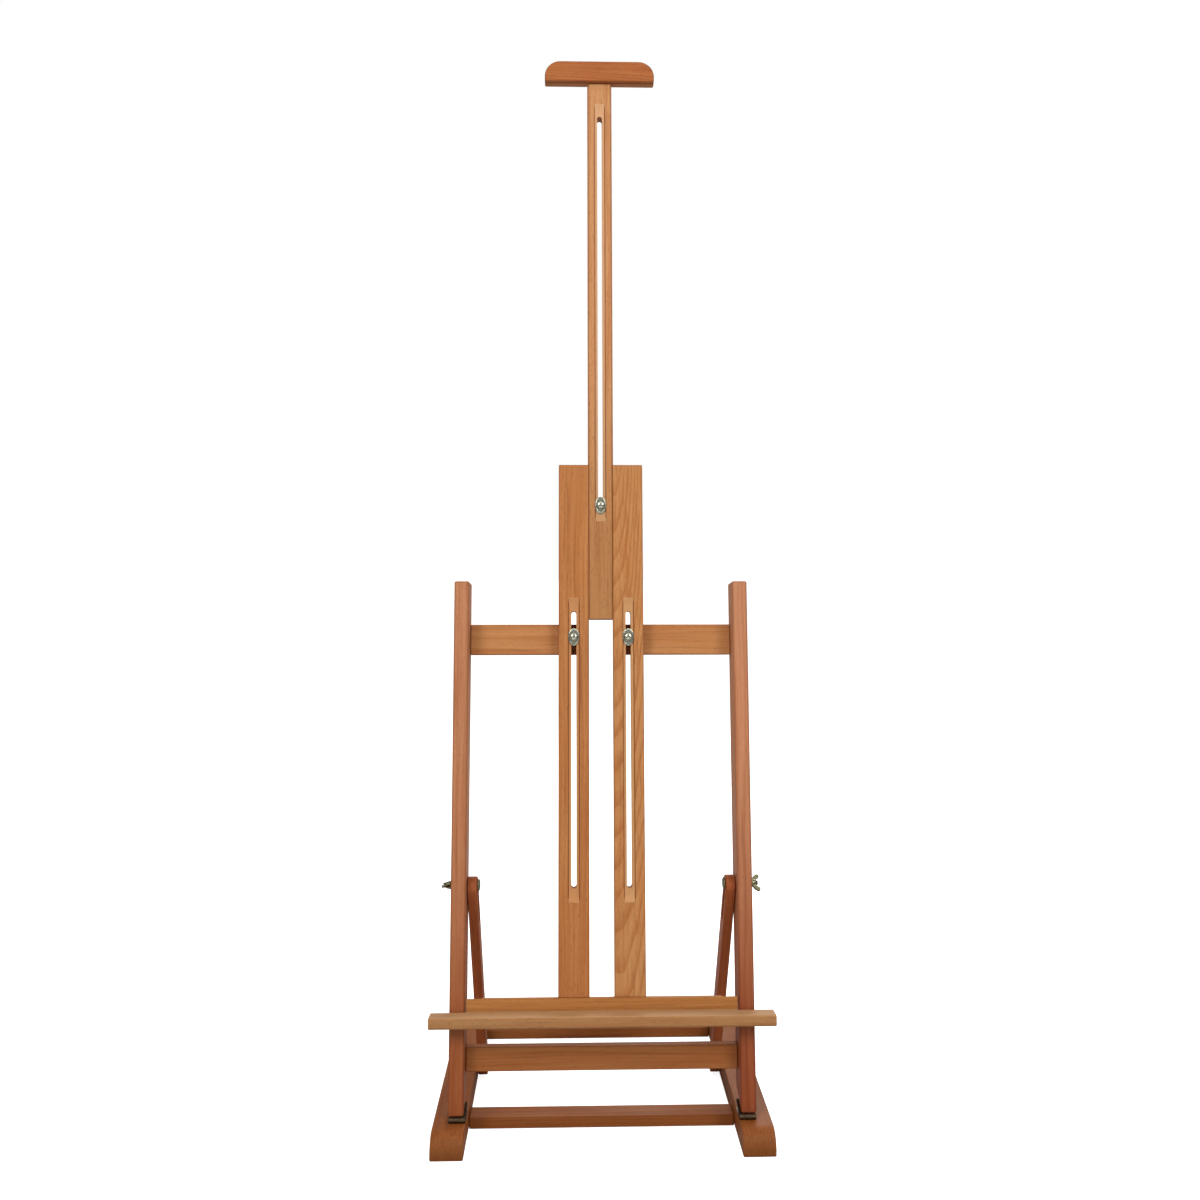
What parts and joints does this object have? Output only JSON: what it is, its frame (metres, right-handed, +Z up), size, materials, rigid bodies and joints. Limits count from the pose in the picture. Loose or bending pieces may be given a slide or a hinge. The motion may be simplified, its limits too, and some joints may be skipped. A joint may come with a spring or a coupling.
{
  "type": "table easel",
  "caption": "Wooden table easel: a tilting frame on skids, with a sliding shelf and a sliding mast whose head holds the picture.",
  "frame": {"origin": "on the table, at the centre of the footprint of the skids", "axes": "+Z up, -Y towards the easel's front, where the picture stands, +X towards its right side as seen from the front"},
  "size_m": [0.36, 0.325, 1.1851],
  "materials": {
    "oiled_beech": "oiled, satin",
    "oiled_beech_pink": "oiled, satin",
    "oiled_beech_pale": "oiled, satin",
    "oiled_beech_dark": "oiled, satin",
    "zinc_plated_steel": "bright zinc plate",
    "dark_hinge_steel": "dull plate"
  },
  "bodies": {
    "base": {"foot_left": "oiled_beech_dark", "hinge_leaf_lower_left": "dark_hinge_steel", "hinge_screw_lower_left": "dark_hinge_steel", "hinge_pin_left": "dark_hinge_steel", "strut_pivot_bolt_left": "zinc_plated_steel", "strut_pivot_nut_left": "zinc_plated_steel", "foot_right": "oiled_beech_dark", "hinge_leaf_lower_right": "dark_hinge_steel", "hinge_screw_lower_right": "dark_hinge_steel", "hinge_pin_right": "dark_hinge_steel", "strut_pivot_bolt_right": "zinc_plated_steel", "strut_pivot_nut_right": "zinc_plated_steel", "front_stretcher": "oiled_beech_dark", "rear_stretcher": "oiled_beech_dark"},
    "strut_left": {"strut_left": "oiled_beech_dark"},
    "strut_right": {"strut_right": "oiled_beech_dark"},
    "frame": {"post_left": "oiled_beech_pink", "hinge_leaf_upper_left": "dark_hinge_steel", "hinge_screw_upper_left": "dark_hinge_steel", "tilt_bolt_left": "zinc_plated_steel", "tilt_washer_left": "zinc_plated_steel", "rail_bolt_plate_left": "zinc_plated_steel", "rail_bolt_left": "zinc_plated_steel", "rail_washer_left": "zinc_plated_steel", "crossbar_left": "oiled_beech", "post_right": "oiled_beech_pink", "hinge_leaf_upper_right": "dark_hinge_steel", "hinge_screw_upper_right": "dark_hinge_steel", "tilt_bolt_right": "zinc_plated_steel", "tilt_washer_right": "zinc_plated_steel", "rail_bolt_plate_right": "zinc_plated_steel", "rail_bolt_right": "zinc_plated_steel", "rail_washer_right": "zinc_plated_steel", "crossbar_right": "oiled_beech", "lower_rail": "oiled_beech_dark"},
    "tilt_wing_nut_left": {"tilt_wing_nut_left": "zinc_plated_steel"},
    "tilt_wing_nut_right": {"tilt_wing_nut_right": "zinc_plated_steel"},
    "rail_wing_nut_left": {"rail_wing_nut_left": "zinc_plated_steel"},
    "rail_wing_nut_right": {"rail_wing_nut_right": "zinc_plated_steel"},
    "carriage": {"rail_left": "oiled_beech", "bridge_screw_left": "zinc_plated_steel", "shelf_screw_left": "zinc_plated_steel", "rail_right": "oiled_beech", "bridge_screw_right": "zinc_plated_steel", "shelf_screw_right": "zinc_plated_steel", "shelf_bar": "oiled_beech", "shelf_lip": "oiled_beech_pale", "bridge": "oiled_beech_dark", "mast_bolt_plate": "zinc_plated_steel", "mast_bolt": "zinc_plated_steel", "mast_washer": "zinc_plated_steel"},
    "mast_wing_nut": {"mast_wing_nut": "zinc_plated_steel"},
    "mast": {"mast": "oiled_beech", "head": "oiled_beech", "head_screw_left": "zinc_plated_steel", "head_screw_right": "zinc_plated_steel"}
  },
  "joints": [
    {"name": "tilt", "type": "hinge", "parent": "base", "child": "frame", "pos_m": [0, -0.1335, 0.027], "axis": [-1, 0, 0], "range_deg": [0, 18]},
    {"name": "strut_left_pivot", "type": "hinge", "parent": "base", "child": "strut_left", "pos_m": [-0.1357, 0.0215, 0.013], "axis": [-1, 0, 0], "range_deg": [0, 13.7]},
    {"name": "strut_right_pivot", "type": "hinge", "parent": "base", "child": "strut_right", "pos_m": [0.1357, 0.0215, 0.013], "axis": [-1, 0, 0], "range_deg": [0, 13.7]},
    {"name": "carriage_slide", "type": "slide", "parent": "frame", "child": "carriage", "axis": [0, 0.117, 0.9931], "range_m": [-0.022, 0.262]},
    {"name": "mast_slide", "type": "slide", "parent": "carriage", "child": "mast", "axis": [0, 0.117, 0.9931], "range_m": [-0.39, 0]},
    {"name": "tilt_wing_nut_left_turn", "type": "hinge", "parent": "frame", "child": "tilt_wing_nut_left", "pos_m": [-0.166, -0.08592, 0.2556], "axis": [-1, 0, 0], "continuous": true},
    {"name": "tilt_wing_nut_right_turn", "type": "hinge", "parent": "frame", "child": "tilt_wing_nut_right", "pos_m": [0.166, -0.08592, 0.2556], "axis": [1, 0, 0], "continuous": true},
    {"name": "rail_wing_nut_left_turn", "type": "hinge", "parent": "frame", "child": "rail_wing_nut_left", "pos_m": [-0.0299, -0.0355, 0.5169], "axis": [0, 0.9931, -0.117], "continuous": true},
    {"name": "rail_wing_nut_right_turn", "type": "hinge", "parent": "frame", "child": "rail_wing_nut_right", "pos_m": [0.0299, -0.0355, 0.5169], "axis": [0, 0.9931, -0.117], "continuous": true},
    {"name": "mast_wing_nut_turn", "type": "hinge", "parent": "carriage", "child": "mast_wing_nut", "pos_m": [0, -0.02235, 0.66266], "axis": [0, 0.9931, -0.117], "continuous": true}
  ],
  "couplings": [
    {"joint": "strut_left_pivot", "follows": "tilt", "ratio": 0.75},
    {"joint": "strut_right_pivot", "follows": "tilt", "ratio": 0.75}
  ]
}
